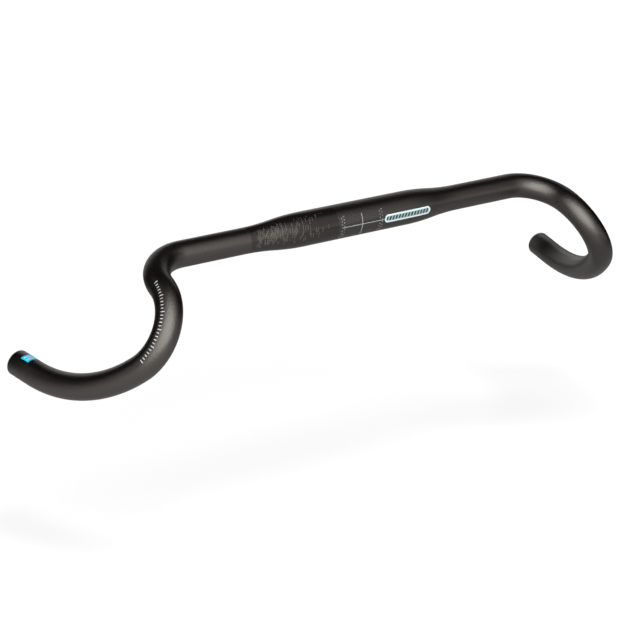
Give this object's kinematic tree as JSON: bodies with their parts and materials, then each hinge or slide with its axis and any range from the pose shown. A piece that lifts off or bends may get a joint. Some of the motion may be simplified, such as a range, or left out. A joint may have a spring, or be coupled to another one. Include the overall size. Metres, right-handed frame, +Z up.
{
  "type": "drop handlebar",
  "caption": "Flared drop handlebar for gravel bikes: one bent, butted aluminium tube with a fat clamp seat, open ends and printed films for clamp limits, centring and lever height.",
  "frame": {"origin": "centre of the stem clamp seat, on the tube's axis", "axes": "+X along the clamp seat towards the rider's left, +Z up, -Y forwards, with the bar turned in the clamp as in the picture, so that the ramps fall 18 degrees forwards"},
  "size_m": [0.6342, 0.1639, 0.1336],
  "materials": {
    "anodised_tube": "bead-blasted and anodised black, satin",
    "dark_film": "dark semi-gloss film with a fine pale grey print",
    "white_print": "white screen print",
    "pale_film": "pale grey-green film with a dark print",
    "blue_film": "bright blue label film"
  },
  "bodies": {
    "root": {"bar_tube": "anodised_tube", "shoulder_film": "dark_film", "clamp_limit_dots": "white_print", "centre_cross": "white_print", "badge_film": "pale_film", "lever_scale_right": "white_print", "lever_scale_left": "white_print", "end_label": "blue_film"}
  },
  "joints": []
}
